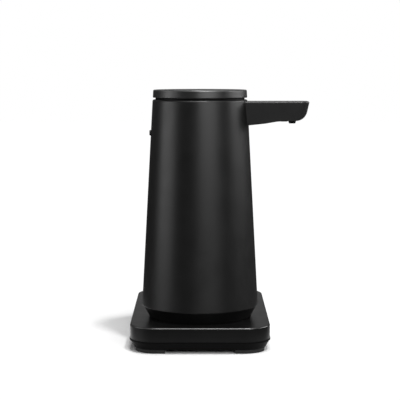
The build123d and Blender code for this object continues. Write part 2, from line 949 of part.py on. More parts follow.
with BuildPart() as bottom_cover:
    with BuildSketch(Plane.XZ):
        with BuildLine():
            Polyline(
                (0, cover_bottom),
                (foot_radius, cover_bottom),
                (shell_bottom_radius - foot_top_inset, shell_bottom),
                (shell_bore(shell_bottom) - slip_fit, shell_bottom),
                (shell_bore(spigot_top) - slip_fit, spigot_top),
                (shell_bore(spigot_top) - slip_fit - cover_wall, spigot_top),
                (cover_inner(shell_bottom), shell_bottom),
                (cover_inner(cover_floor_top), cover_floor_top),
                (0, cover_floor_top),
                close=True,
            )
        make_face()
    revolve(axis=Axis.Z)
    with Locations((0, 0, cover_floor_top)):
        with PolarLocations(pillar_ring_radius, 4, pillar_angle):
            Cylinder(pillar_radius, pillar_foot_height, align=LOW)
    with Locations((0, 0, cover_bottom)):
        with PolarLocations(pillar_ring_radius, 4, pillar_angle):
            Cylinder(
                tapping_hole_radius,
                cover_floor + pillar_foot_height,
                align=LOW,
                mode=Mode.SUBTRACT,
            )
            Cylinder(
                tapping_head_radius + slip_fit, tapping_head_height, align=LOW, mode=Mode.SUBTRACT
            )
        Cylinder(foot_ring_outer, foot_ring_depth, align=LOW, mode=Mode.SUBTRACT)
        Cylinder(foot_ring_outer - foot_ring_width, foot_ring_depth, align=LOW)
    with Locations(*[(x, y, cover_bottom) for x, y in pin_places]):
        Cylinder(contact_radius + shaft_fit, cover_floor, align=LOW, mode=Mode.SUBTRACT)
finish(bottom_cover, "bottom_cover")

with BuildPart() as foot_ring:
    with Locations((0, 0, seat_height)):
        Cylinder(foot_ring_outer - slip_fit, foot_ring_proud + foot_ring_depth, align=LOW)
        Cylinder(
            foot_ring_outer - foot_ring_width + slip_fit,
            foot_ring_proud + foot_ring_depth,
            align=LOW,
            mode=Mode.SUBTRACT,
        )
finish(foot_ring, "foot_ring")

with BuildPart() as bottom_screws:
    with Locations((0, 0, cover_bottom)):
        with PolarLocations(pillar_ring_radius, 4, pillar_angle):
            add(screw_solid(
                tapping_head_radius, tapping_head_height, tapping_shank_radius, cover_screw_length
            ))
finish(bottom_screws, "bottom_screws")

with BuildPart() as charge_contacts:
    with Locations(*[(x, y, pin_top) for x, y in pin_places]):
        Cylinder(contact_radius, cover_floor_top - pin_top, align=LOW)
    with Locations(*[(x, y, cover_floor_top) for x, y in pin_places]):
        Cylinder(contact_radius + contact_flange, contact_flange, align=LOW)
finish(charge_contacts, "charge_contacts")

# Inner frame: a plate under the tank, four pillars down to the foot and rails for the control board
pillar_side = pillar_ring_radius * sin(radians(pillar_angle))
control_board_half_width = pillar_side - control_board_post_gap
control_board_top = control_board_bottom + control_board_height
board_reach = shell_bore(control_board_top) - board_wall_gap
board_outer_x = sqrt(board_reach**2 - control_board_half_width**2)
board_inner_x = board_outer_x - board_thickness
pillar_foot_top = cover_floor_top + pillar_foot_height
rear_post_ring = pump_outer_radius + drive_rear_out
rear_post_x = pump_x + rear_post_ring * cos(radians(drive_post_angle))
rear_post_y = rear_post_ring * sin(radians(drive_post_angle))
front_post_x = pump_front - drive_post_set_back
front_post_y = pump_outer_radius + drive_front_out
drive_places = [
    (rear_post_x, -rear_post_y),
    (rear_post_x, rear_post_y),
    (front_post_x, -front_post_y),
    (front_post_x, front_post_y),
]
with BuildPart() as chassis_space:
    with BuildSketch(Plane.XZ):
        with BuildLine():
            Polyline(
                (0, pillar_foot_top),
                (cover_inner(pillar_foot_top) - chassis_gap, pillar_foot_top),
                (cover_inner(shell_bottom) - chassis_gap, shell_bottom),
                (shell_bore(spigot_top) - slip_fit - cover_wall - chassis_gap, spigot_top),
                (shell_bore(spigot_top) - chassis_gap, spigot_top + chassis_gap),
                (shell_bore(chassis_top) - chassis_gap, chassis_top),
                (0, chassis_top),
                close=True,
            )
        make_face()
    revolve(axis=Axis.Z)
with BuildPart() as chassis:
    with Locations((0, 0, pump_top)):
        Cylinder(shell_bottom_radius, chassis_thickness, align=LOW)
    with Locations((0, 0, pillar_foot_top)):
        with PolarLocations(pillar_ring_radius, 4, pillar_angle):
            Cylinder(pillar_radius, pump_top - pillar_foot_top, align=LOW)
    for side in (-1, 1):
        inner_y = control_board_half_width - board_rail_depth
        with Locations((-board_inner_x + board_rail_wall, side * inner_y, control_board_bottom)):
            Box(
                board_thickness + 2 * board_rail_wall,
                pillar_side - inner_y,
                pump_top - control_board_bottom,
                align=(Align.MAX, Align.MIN if side > 0 else Align.MAX, Align.MIN),
            )
        with Locations((-board_inner_x + board_rail_wall, side * pillar_side, control_board_bottom)):
            Box(
                board_inner_x - board_rail_wall - pillar_side,
                pillar_radius,
                pump_top - control_board_bottom,
                align=(Align.MIN, Align.MAX if side > 0 else Align.MIN, Align.MIN),
            )
    with Locations((-board_inner_x + slip_fit, 0, control_board_bottom)):
        Box(
            board_thickness + 2 * slip_fit,
            2 * (control_board_half_width + slip_fit),
            control_board_height + slip_fit,
            align=(Align.MAX, Align.CENTER, Align.MIN),
            mode=Mode.SUBTRACT,
        )
    add(chassis_space.part, mode=Mode.INTERSECT)
    with Locations((chase_edge_x, 0, pump_top)):
        Box(
            shell_bottom_radius,
            2 * chase_half_width,
            chassis_thickness,
            align=(Align.MIN, Align.CENTER, Align.MIN),
            mode=Mode.SUBTRACT,
        )
    with Locations((-shell_bore(chassis_top) + rear_notch_depth, 0, pump_top)):
        Box(
            shell_bottom_radius,
            rear_notch_width,
            chassis_thickness,
            align=(Align.MAX, Align.CENTER, Align.MIN),
            mode=Mode.SUBTRACT,
        )
    with Locations(*[(x, y, pump_top) for x, y in drive_places]):
        Cylinder(drive_screw_radius + slip_fit, chassis_thickness, align=LOW, mode=Mode.SUBTRACT)
    with Locations(*[(x, y, chassis_top) for x, y in drive_places]):
        Cylinder(
            drive_head_radius + slip_fit, drive_head_height, align=HIGH, mode=Mode.SUBTRACT
        )
    with Locations((elbow_x, track_middle, pump_top)):
        Cylinder(hose_radius + hose_gap, chassis_thickness, align=LOW, mode=Mode.SUBTRACT)
    with Locations((0, 0, pillar_foot_top)):
        with PolarLocations(pillar_ring_radius, 4, pillar_angle):
            Cylinder(tapping_shank_radius, cover_screw_length, align=LOW, mode=Mode.SUBTRACT)
finish(chassis, "chassis")

# Battery cell, lying across the foot, and its holder
cell_z = cover_floor_top + holder_floor + cell_radius
holder_top = cover_floor_top + holder_floor + 2 * cell_radius
holder_rear_x = pillar_side - pillar_radius - holder_pillar_gap
cell_x = cell_radius + holder_wall - holder_rear_x
holder_half_length = sqrt(cover_inner(cover_floor_top) ** 2 - holder_rear_x**2) - holder_rim_gap
cell_length = 2 * (holder_half_length - holder_end_wall - holder_end_gap - cell_button_height)
with BuildPart() as battery:
    with Locations((cell_x, 0, cell_z)):
        Cylinder(cell_radius, cell_length, rotation=(90, 0, 0))
        with Locations((0, cell_length / 2, 0)):
            Cylinder(cell_button_radius, 2 * cell_button_height, rotation=(90, 0, 0))
finish(battery, "battery")

with BuildPart() as battery_holder:
    with Locations((cell_x, 0, cover_floor_top)):
        Box(
            2 * (cell_radius + holder_wall),
            2 * holder_half_length,
            holder_floor + cell_radius,
            align=LOW,
        )
        for side in (-1, 1):
            with Locations((0, side * holder_half_length, 0)):
                Box(
                    2 * cell_radius,
                    holder_end_wall,
                    holder_floor + 2 * cell_radius,
                    align=(Align.CENTER, Align.MIN if side < 0 else Align.MAX, Align.MIN),
                )
    with Locations((cell_x, 0, cell_z)):
        Cylinder(
            cell_radius + slip_fit,
            2 * (holder_half_length - holder_end_wall),
            rotation=(90, 0, 0),
            mode=Mode.SUBTRACT,
        )
finish(battery_holder, "battery_holder")

# Control board with its chip, capacitor and sockets
socket_z = control_board_bottom + control_board_height / 2
chip_z = control_board_top - chip_size
with BuildPart() as control_board:
    with Locations((-board_inner_x, 0, control_board_bottom)):
        Box(
            board_thickness,
            2 * control_board_half_width,
            control_board_height,
            align=(Align.MAX, Align.CENTER, Align.MIN),
        )
    with Locations(Plane.YZ.offset(-board_inner_x)):
        with Locations((0, socket_z)):
            with GridLocations(socket_pitch, socket_pitch, 4, 1):
                Box(
                    socket_height,
                    socket_height,
                    socket_depth,
                    align=LOW,
                )
    with Locations((-board_inner_x, chip_size, chip_z)):
        Box(chip_height, chip_size, chip_size, align=(Align.MIN, Align.CENTER, Align.CENTER))
    with Locations((-board_inner_x, -chip_size, chip_z)):
        Cylinder(
            capacitor_radius,
            capacitor_height,
            rotation=(0, 90, 0),
            align=LOW,
        )
    with Locations((-board_outer_x, 0, control_board_top - socket_height)):
        Box(
            socket_depth,
            socket_height,
            socket_height,
            align=(Align.MAX, Align.CENTER, Align.CENTER),
        )
finish(control_board, "control_board")

# Motor: a flattened can, its end cap, and the shaft with the armature on it
motor_screw_ys = (-motor_screw_spread, motor_screw_spread)


def motor_outline(inset):
    """A circle with two flats, drawn in the current sketch and moved inwards by inset."""
    with Locations((motor_x, 0)):
        Circle(motor_radius - inset)
        Rectangle(
            2 * motor_radius, 2 * (motor_flat_half_width - inset), mode=Mode.INTERSECT
        )


with BuildPart() as motor_can:
    with BuildSketch(Plane.XY.offset(can_bottom)):
        motor_outline(0)
    extrude(amount=motor_height)
    with BuildSketch(Plane.XY.offset(can_bottom)):
        motor_outline(motor_skin)
    extrude(amount=motor_height - motor_skin, mode=Mode.SUBTRACT)
    with Locations((motor_x, 0, frame_bottom)):
        Cylinder(motor_boss_radius, motor_boss_height, align=LOW)
        Cylinder(
            motor_shaft_radius + shaft_fit,
            2 * (motor_boss_height + motor_skin),
            mode=Mode.SUBTRACT,
        )
    with Locations(*[(motor_x, y, frame_bottom) for y in motor_screw_ys]):
        Cylinder(motor_screw_radius, 2 * motor_skin, mode=Mode.SUBTRACT)
finish(motor_can, "motor_can")

with BuildPart() as motor_cap:
    with BuildSketch(Plane.XY.offset(motor_bottom)):
        motor_outline(motor_skin / 2)
    extrude(amount=motor_cap_height)
    with BuildSketch(Plane.XY.offset(can_bottom)):
        motor_outline(motor_skin + shaft_fit)
    extrude(amount=motor_cap_height)
    with Locations((motor_x, 0, motor_bottom + motor_cap_height / 2)):
        Cylinder(
            motor_shaft_radius + shaft_fit, 2 * motor_cap_height, align=LOW, mode=Mode.SUBTRACT
        )
finish(motor_cap, "motor_cap")

armature_bottom = can_bottom + (motor_height - armature_height) / 2
with BuildPart() as motor_shaft:
    with Locations((motor_x, 0, motor_bottom + motor_cap_height / 2 + shaft_fit)):
        Cylinder(
            motor_shaft_radius,
            wheel_top + gear_side_gap - motor_bottom - motor_cap_height / 2,
            align=LOW,
        )
    with BuildSketch(Plane.XY.offset(armature_bottom)):
        with Locations((motor_x, 0)):
            Circle(armature_radius)
            with PolarLocations(armature_radius, armature_poles):
                Rectangle(armature_radius, armature_slot, mode=Mode.SUBTRACT)
    extrude(amount=armature_height)
finish(motor_shaft, "motor_shaft")

# Gear train: pinion, two-step idler and the wheel on the pump's shaft
with BuildPart() as pinion:
    with BuildSketch(Plane.XY.offset(wheel_bottom - gear_side_gap)):
        add(gear_sketch(pinion_teeth, motor_x, 180 / pinion_teeth))
        with Locations((motor_x, 0)):
            Circle(motor_shaft_radius, mode=Mode.SUBTRACT)
    extrude(amount=wheel_width + gear_side_gap)
finish(pinion, "pinion")

idler_hub_top = pump_cover_bottom - gear_end_gap
with BuildPart() as idler_gear:
    with Locations((idler_x, 0, frame_top + gear_end_gap)):
        Cylinder(rotor_hub_radius / 2, idler_hub_top - frame_top - gear_end_gap, align=LOW)
    with BuildSketch(Plane.XY.offset(wheel_bottom)):
        add(gear_sketch(wheel_teeth, idler_x, 0))
    extrude(amount=wheel_width)
    with BuildSketch(Plane.XY.offset(wheel_top)):
        add(gear_sketch(idler_teeth, idler_x, 180 / idler_teeth))
    extrude(amount=rotor_gear_top + gear_side_gap - wheel_top)
    with Locations((idler_x, 0, frame_top)):
        Cylinder(
            motor_shaft_radius + shaft_fit, pump_cover_bottom - frame_top, align=LOW, mode=Mode.SUBTRACT
        )
finish(idler_gear, "idler_gear")

with BuildPart() as rotor_gear:
    with BuildSketch(Plane.XY.offset(rotor_gear_bottom)):
        add(gear_sketch(rotor_teeth, pump_x, 0))
    extrude(amount=rotor_gear_width)
    with Locations((pump_x, 0, rotor_gear_bottom)):
        Cylinder(rotor_hub_radius, pump_cover_bottom - gear_end_gap - rotor_gear_bottom, align=LOW)
        Cylinder(
            pump_shaft_radius, pump_cover_bottom - rotor_gear_bottom, align=LOW, mode=Mode.SUBTRACT
        )
finish(rotor_gear, "rotor_gear")

with BuildPart() as idler_axle:
    with Locations((idler_x, 0, frame_bottom)):
        Cylinder(
            motor_shaft_radius, pump_cover_bottom + bearing_depth - frame_bottom, align=LOW
        )
finish(idler_axle, "idler_axle")

# Frame that carries the motor and the lower ends of the shafts
with BuildPart() as drive_frame:
    with BuildSketch(Plane.XY.offset(frame_bottom)):
        with Locations(*drive_places):
            Circle(drive_ear_radius)
        with Locations((motor_x, 0)):
            Circle(motor_radius)
        make_hull()
    extrude(amount=frame_plate)
    with Locations(*[(x, y, frame_top) for x, y in drive_places]):
        Cylinder(drive_post_radius, pump_cover_bottom - frame_top, align=LOW)
    with Locations(*[(x, y, frame_bottom) for x, y in drive_places]):
        Cylinder(
            drive_screw_radius + slip_fit, pump_cover_bottom - frame_bottom, align=LOW, mode=Mode.SUBTRACT
        )
    with Locations((pump_x, 0, frame_bottom)):
        Cylinder(pump_shaft_radius + shaft_fit, frame_plate, align=LOW, mode=Mode.SUBTRACT)
    with Locations((idler_x, 0, frame_bottom)):
        Cylinder(motor_shaft_radius, frame_plate, align=LOW, mode=Mode.SUBTRACT)
    with Locations((motor_x, 0, frame_bottom)):
        Cylinder(motor_boss_radius + shaft_fit, frame_plate, align=LOW, mode=Mode.SUBTRACT)
    with Locations(*[(motor_x, y, frame_bottom) for y in motor_screw_ys]):
        Cylinder(motor_screw_radius + slip_fit, frame_plate, align=LOW, mode=Mode.SUBTRACT)
finish(drive_frame, "drive_frame")

# Pump: housing with its track, cover, rotor with three rollers, and the squeezed tube
def pump_outline():
    """Outline of the pump in plan, with ears for its screws, drawn in the current sketch."""
    with Locations((pump_x, 0)):
        Circle(pump_outer_radius)
        Rectangle(
            pump_front - pump_x, 2 * pump_outer_radius, align=(Align.MIN, Align.CENTER)
        )
    with Locations(*drive_places):
        Circle(drive_ear_radius)


flat_end_x = pump_x + tube_flat_run
round_start_x = flat_end_x + tube_change_run
with BuildPart() as pump_housing:
    with BuildSketch(Plane.XY.offset(pump_bottom)):
        pump_outline()
    extrude(amount=pump_height)
    with Locations((pump_x, 0, pump_bottom)):
        Cylinder(track_radius, pump_height - pump_roof, align=LOW, mode=Mode.SUBTRACT)
    for side in (-1, 1):
        with Locations((pump_x, side * track_middle, pump_bottom)):
            Box(
                pump_front - pump_x,
                squeezed_tube + 4 * shaft_fit,
                pump_height - pump_roof,
                align=(Align.MIN, Align.CENTER, Align.MIN),
                mode=Mode.SUBTRACT,
            )
        with Locations((flat_end_x, side * track_middle, pump_bottom)):
            Box(
                pump_front - flat_end_x,
                2 * (hose_radius + shaft_fit * 2),
                pump_height - pump_roof,
                align=(Align.MIN, Align.CENTER, Align.MIN),
                mode=Mode.SUBTRACT,
            )
    with Locations((pump_x, 0, pump_top - pump_roof)):
        Cylinder(pump_shaft_radius + shaft_fit, bearing_depth, align=LOW, mode=Mode.SUBTRACT)
    with Locations(*[(x, y, pump_bottom) for x, y in drive_places]):
        Cylinder(drive_screw_radius, pump_height, align=LOW, mode=Mode.SUBTRACT)
finish(pump_housing, "pump_housing")

with BuildPart() as pump_cover:
    with BuildSketch(Plane.XY.offset(pump_cover_bottom)):
        pump_outline()
        with Locations((pump_x, 0)):
            Circle(pump_shaft_radius + shaft_fit, mode=Mode.SUBTRACT)
        with Locations(*drive_places):
            Circle(drive_screw_radius + slip_fit, mode=Mode.SUBTRACT)
    extrude(amount=pump_cover_thickness)
    with Locations((idler_x, 0, pump_cover_bottom)):
        Cylinder(motor_shaft_radius, bearing_depth, align=LOW, mode=Mode.SUBTRACT)
finish(pump_cover, "pump_cover")

# Screws of the drive: four up through the frame, four down through the plate, two into the motor
frame_screw_length = pump_bottom + drive_screw_grip - frame_bottom
plate_screw_length = chassis_thickness - drive_head_height + drive_screw_grip / 2
with BuildPart() as drive_screws:
    with Locations(*[(x, y, frame_bottom - drive_head_height) for x, y in drive_places]):
        add(screw_solid(drive_head_radius, drive_head_height, drive_screw_radius, frame_screw_length))
    with Locations(*[(x, y, chassis_top) for x, y in drive_places]):
        add(
            screw_solid(drive_head_radius, drive_head_height, drive_screw_radius, plate_screw_length),
            rotation=(180, 0, 0),
        )
    with Locations(*[(motor_x, y, frame_top + motor_head_height) for y in motor_screw_ys]):
        add(
            screw_solid(
                motor_head_radius, motor_head_height, motor_screw_radius, frame_plate + motor_skin
            ),
            rotation=(180, 0, 0),
        )
finish(drive_screws, "drive_screws")

with BuildPart() as pump_shaft:
    with Locations((pump_x, 0, frame_bottom)):
        Cylinder(
            pump_shaft_radius, pump_top - pump_roof + bearing_depth - gear_end_gap - frame_bottom, align=LOW
        )
finish(pump_shaft, "pump_shaft")

rotor_bottom = pump_bottom + rotor_end_gap
rotor_top = pump_top - pump_roof - rotor_end_gap
roller_places = [
    (pump_x + roller_orbit * cos(2 * pi * roller / roller_count),
     roller_orbit * sin(2 * pi * roller / roller_count))
    for roller in range(roller_count)
]
with BuildPart() as pump_rotor:
    with Locations((pump_x, 0, rotor_bottom)):
        Cylinder(rotor_disc_radius, rotor_disc_thickness, align=LOW)
        Cylinder(rotor_hub_radius, rotor_top - rotor_bottom, align=LOW)
    with Locations((pump_x, 0, rotor_top)):
        Cylinder(rotor_disc_radius, rotor_disc_thickness, align=HIGH)
    with Locations(*[(x, y, rotor_bottom) for x, y in roller_places]):
        Cylinder(roller_pin_radius, rotor_top - rotor_bottom, align=LOW, mode=Mode.SUBTRACT)
    with Locations((pump_x, 0, rotor_bottom)):
        Cylinder(pump_shaft_radius, rotor_top - rotor_bottom, align=LOW, mode=Mode.SUBTRACT)
finish(pump_rotor, "pump_rotor")

with BuildPart() as roller_pins:
    with Locations(*[(x, y, rotor_bottom) for x, y in roller_places]):
        Cylinder(roller_pin_radius, rotor_top - rotor_bottom, align=LOW)
finish(roller_pins, "roller_pins")

roller_bottom = rotor_bottom + rotor_disc_thickness + gear_end_gap
roller_length = rotor_top - rotor_bottom - 2 * (rotor_disc_thickness + gear_end_gap)
for number, (x, y) in enumerate(roller_places, start=1):
    with BuildPart() as roller:
        with Locations((x, y, roller_bottom)):
            Cylinder(roller_radius, roller_length, align=LOW)
            Cylinder(roller_pin_radius + shaft_fit, roller_length, align=LOW, mode=Mode.SUBTRACT)
    finish(roller, f"roller_{number}")

# Soft tube: pressed flat all along the track, round at its two ends
tube_end_x = pump_front + tube_end_out
with BuildPart() as pump_tube:
    with BuildLine() as track:
        start = Line((flat_end_x, track_middle, port_height), (pump_x, track_middle, port_height))
        bend = ThreePointArc(
            (pump_x, track_middle, port_height),
            (pump_x - track_middle, 0, port_height),
            (pump_x, -track_middle, port_height),
        )
        Line((pump_x, -track_middle, port_height), (flat_end_x, -track_middle, port_height))
    with BuildSketch(Plane(origin=track.line @ 0, z_dir=track.line % 0, x_dir=(0, 1, 0))):
        RectangleRounded(squeezed_tube, pump_tube_width, squeezed_tube / 2 - shaft_fit)
    sweep(path=track.line)
    for side in (-1, 1):
        with BuildSketch(Plane.YZ.offset(flat_end_x)):
            with Locations((side * track_middle, port_height)):
                RectangleRounded(squeezed_tube, pump_tube_width, squeezed_tube / 2 - shaft_fit)
        with BuildSketch(Plane.YZ.offset(round_start_x)):
            with Locations((side * track_middle, port_height)):
                RectangleRounded(2 * hose_radius, 2 * hose_radius, hose_radius - shaft_fit)
        loft()
        with BuildSketch(Plane.YZ.offset(round_start_x)):
            with Locations((side * track_middle, port_height)):
                Circle(hose_radius)
                Circle(hose_bore, mode=Mode.SUBTRACT)
        extrude(amount=tube_end_x - round_start_x)
finish(pump_tube, "pump_tube")

# Barbed fittings at the pump's two ports: an elbow up to the tank, and a straight one out
barb_start_x = pump_front - fitting_barb + gear_end_gap
with BuildPart() as tube_fittings:
    with BuildSketch(Plane.YZ.offset(barb_start_x)):
        with Locations((track_middle, port_height)):
            Circle(fitting_radius)
    extrude(amount=elbow_x - barb_start_x)
    with Locations((elbow_x, track_middle, port_height)):
        Sphere(fitting_body_radius)
        Cylinder(fitting_radius, fitting_reach, align=LOW)
        Cylinder(fitting_bore, fitting_reach, align=LOW, mode=Mode.SUBTRACT)
    with BuildSketch(Plane.YZ.offset(barb_start_x)):
        with Locations((track_middle, port_height)):
            Circle(fitting_bore)
    extrude(amount=elbow_x - barb_start_x, mode=Mode.SUBTRACT)
    with BuildSketch(Plane.YZ.offset(barb_start_x)):
        with Locations((-track_middle, port_height)):
            Circle(fitting_radius)
    extrude(amount=riser_start_x + fitting_barb - barb_start_x)
    with BuildSketch(Plane.YZ.offset(riser_start_x)):
        with Locations((-track_middle, port_height)):
            Circle(fitting_body_radius)
    extrude(amount=-riser_flange)
    with BuildSketch(Plane.YZ.offset(barb_start_x)):
        with Locations((-track_middle, port_height)):
            Circle(fitting_bore)
    extrude(amount=riser_start_x + fitting_barb - barb_start_x, mode=Mode.SUBTRACT)
finish(tube_fittings, "tube_fittings")

with BuildPart() as inlet_tube:
    with Locations((elbow_x, track_middle, port_height + fitting_body_radius)):
        Cylinder(hose_radius, tank_bottom - shaft_fit - port_height - fitting_body_radius, align=LOW)
        Cylinder(hose_bore, tank_bottom - port_height, align=LOW, mode=Mode.SUBTRACT)
finish(inlet_tube, "inlet_tube")

# Soap tank, flat in front of the hoses and with a channel behind for the button
tank_channel_x = button_board_x - board_thickness - rail_bite - tank_channel_gap
tank_channel_half_width = rail_outer_y + tank_channel_gap


def tank_form(inset):
    """The tank's outer form, or the same form moved inwards by inset on every side."""
    bottom = tank_bottom + inset
    top = tank_top - inset
    with BuildPart() as form:
        with BuildSketch(Plane.XZ):
            with BuildLine():
                Polyline(
                    (0, bottom),
                    (shell_bore(bottom) - tank_shell_gap - inset, bottom),
                    (shell_bore(top) - tank_shell_gap - inset, top),
                    (0, top),
                    close=True,
                )
            make_face()
        revolve(axis=Axis.Z)
        with Locations((tank_flat_x - inset, 0, bottom)):
            Box(
                shell_bottom_radius,
                2 * shell_bottom_radius,
                top - bottom,
                align=(Align.MIN, Align.CENTER, Align.MIN),
                mode=Mode.SUBTRACT,
            )
        with Locations((-tank_channel_x + inset, 0, bottom)):
            Box(
                shell_bottom_radius,
                2 * (tank_channel_half_width + inset),
                top - bottom,
                align=(Align.MAX, Align.CENTER, Align.MIN),
                mode=Mode.SUBTRACT,
            )
    return form.part


with BuildPart() as tank:
    add(tank_form(0))
    with Locations((0, 0, tank_top)):
        Cylinder(neck_radius, neck_height, align=LOW)
    add(tank_form(tank_wall), mode=Mode.SUBTRACT)
    with Locations((0, 0, tank_top - tank_wall)):
        Cylinder(neck_radius - neck_wall, neck_height + tank_wall, align=LOW, mode=Mode.SUBTRACT)
    with Locations((elbow_x, track_middle, tank_bottom)):
        Cylinder(fitting_radius, outlet_height, align=HIGH)
        Cylinder(fitting_bore, 2 * outlet_height, mode=Mode.SUBTRACT)
finish(tank, "tank")

# Collar that closes the casing, with the lugs that hold the spout, and the gasket under it
ring_bottom = tank_top + gasket_height
ring_bore = neck_radius + neck_gap
ring_flange_bottom = shell_top - ring_drop - ring_flange_height
ring_flange_top = shell_top - ring_drop
ring_flange_radius = shell_bore(ring_flange_top) - slip_fit
collar_radius = shell_bore(shell_top) - collar_fit
lug_top = lid_bottom - ring_skin
ear_screw_z = spout_top - ear_screw_drop
ear_places = [(spout_root_x, side * ear_screw_y, ear_screw_z) for side in (-1, 1)]
with BuildPart() as top_ring:
    with BuildSketch(Plane.XZ):
        with BuildLine():
            Polyline(
                (ring_bore, ring_bottom),
                (ring_bore + ring_skin, ring_bottom),
                (ring_bore + ring_skin, lug_top),
                (collar_radius - ring_skin, lug_top),
                (collar_radius - ring_skin, ring_flange_bottom),
                (ring_flange_radius, ring_flange_bottom),
                (ring_flange_radius, ring_flange_top),
                (collar_radius, ring_flange_top),
                (collar_radius, lid_bottom),
                (ring_bore, lid_bottom),
                close=True,
            )
        make_face()
    revolve(axis=Axis.Z)
    with Locations((spout_root_x - slip_fit, 0, spout_top + slip_fit)):
        Box(
            shell_top_radius,
            2 * (ear_outer + slip_fit),
            ring_flange_height * 2,
            align=(Align.MIN, Align.CENTER, Align.MAX),
            mode=Mode.SUBTRACT,
        )
    for side in (-1, 1):
        with Locations((spout_root_x - slip_fit, side * ear_inner, lug_top)):
            Box(
                lug_thickness,
                ear_outer - ear_inner,
                lug_length,
                align=(Align.MAX, Align.MIN if side > 0 else Align.MAX, Align.MAX),
            )
    with Locations(*ear_places):
        Cylinder(
            ear_screw_radius + slip_fit,
            4 * lug_thickness,
            rotation=(0, 90, 0),
            mode=Mode.SUBTRACT,
        )
finish(top_ring, "top_ring")

with BuildPart() as tank_gasket:
    with Locations((0, 0, tank_top)):
        Cylinder(neck_radius + gasket_width, gasket_height, align=LOW)
        Cylinder(neck_radius + shaft_fit, gasket_height, align=LOW, mode=Mode.SUBTRACT)
finish(tank_gasket, "tank_gasket")

# Lid: cap, plug and seal
lid_radius = shell_top_radius - lid_inset
lid_recess_radius = lid_radius - lid_skirt
plug_top = lid_top - lid_skin
plug_radius = neck_radius - neck_wall - plug_gap
plug_bottom = tank_top + neck_height - plug_depth
seal_bottom = plug_bottom + plug_wall
with BuildPart() as lid_cap:
    with Locations((0, 0, lid_bottom)):
        Cone(lid_radius, lid_radius - lid_height * shell_slope, lid_height, align=LOW)
    fillet(lid_cap.edges().group_by(Axis.Z)[-1], lid_top_round)
    fillet(lid_cap.edges().group_by(Axis.Z)[0], lid_bottom_round)
    with Locations((0, 0, lid_bottom)):
        Cylinder(lid_recess_radius, lid_height - lid_skin, align=LOW, mode=Mode.SUBTRACT)
finish(lid_cap, "lid_cap")

with BuildPart() as lid_plug:
    with Locations((0, 0, plug_top)):
        Cylinder(lid_recess_radius - slip_fit, plug_flange, align=HIGH)
    with Locations((0, 0, plug_bottom)):
        Cylinder(plug_radius, plug_top - plug_bottom, align=LOW)
    with Locations((0, 0, seal_bottom)):
        Cylinder(plug_radius, seal_height, align=LOW, mode=Mode.SUBTRACT)
        Cylinder(plug_radius - seal_groove, seal_height, align=LOW)
    with Locations((0, 0, plug_bottom + plug_wall)):
        Cylinder(plug_radius - plug_wall, plug_top - plug_bottom, align=LOW, mode=Mode.SUBTRACT)
finish(lid_plug, "lid_plug")

with BuildPart() as lid_seal:
    with Locations((0, 0, seal_bottom)):
        Cylinder(neck_radius - neck_wall - seal_gap, seal_height, align=LOW)
        Cylinder(
            plug_radius - seal_groove + shaft_fit, seal_height, align=LOW, mode=Mode.SUBTRACT
        )
    fillet(lid_seal.edges().filter_by(GeomType.CIRCLE).sort_by(SortBy.RADIUS)[-2:], seal_groove)
finish(lid_seal, "lid_seal")

# Spout: hollow upper shell with ears at its root, and a cover let into its underside
riser_x = shell_bore(spout_top) - hose_radius - riser_wall_gap
riser_z = spout_top - riser_drop
cover_start_x = riser_x + hose_radius + hose_gap
cover_end_x = nozzle_x + nozzle_flange_radius + spout_cover_margin
boss_bottom = spout_under(cover_boss_x + cover_boss_radius) + spout_cover_skin
boss_seat = spout_under(cover_boss_x) + spout_cover_skin - boss_head_seat
boss_places = [(cover_boss_x, side * cover_boss_y) for side in (-1, 1)]


def spout_slice(form, start_x, end_x):
    """The stretch of a spout form between two places along X."""
    with BuildPart() as stretch:
        add(form)
        with Locations((start_x, 0, spout_top)):
            Box(
                end_x - start_x,
                2 * spout_top_width,
                4 * spout_root_height,
                align=(Align.MIN, Align.CENTER, Align.CENTER),
                mode=Mode.INTERSECT,
            )
    return stretch.part


with BuildPart() as spout_upper:
    add(spout_form(0, 0, 0))
    fillet(
        spout_upper.edges().group_by(Axis.Z)[-1].sort_by(Axis.X)[1:],
        spout_edge_round,
    )
    add(spout_form(spout_skin, spout_roof, spout_cover_skin), mode=Mode.SUBTRACT)
    add(
        spout_slice(spout_form(spout_skin, spout_roof, -cut_overrun), 0, cover_end_x),
        mode=Mode.SUBTRACT,
    )
    for side in (-1, 1):
        with Locations((spout_root_x, side * ear_inner, spout_top - ear_top_drop)):
            Box(
                ear_depth,
                ear_outer - ear_inner,
                ear_height,
                align=(Align.MIN, Align.MIN if side > 0 else Align.MAX, Align.MAX),
            )
    with Locations(*ear_places):
        Cylinder(
            ear_screw_radius, 2 * ear_screw_length, rotation=(0, 90, 0), mode=Mode.SUBTRACT
        )
    with Locations(*[(x, y, boss_bottom) for x, y in boss_places]):
        Cylinder(cover_boss_radius, spout_top - spout_roof - boss_bottom, align=LOW)
        Cylinder(boss_screw_radius, boss_screw_length, align=LOW, mode=Mode.SUBTRACT)
finish(spout_upper, "spout_upper")

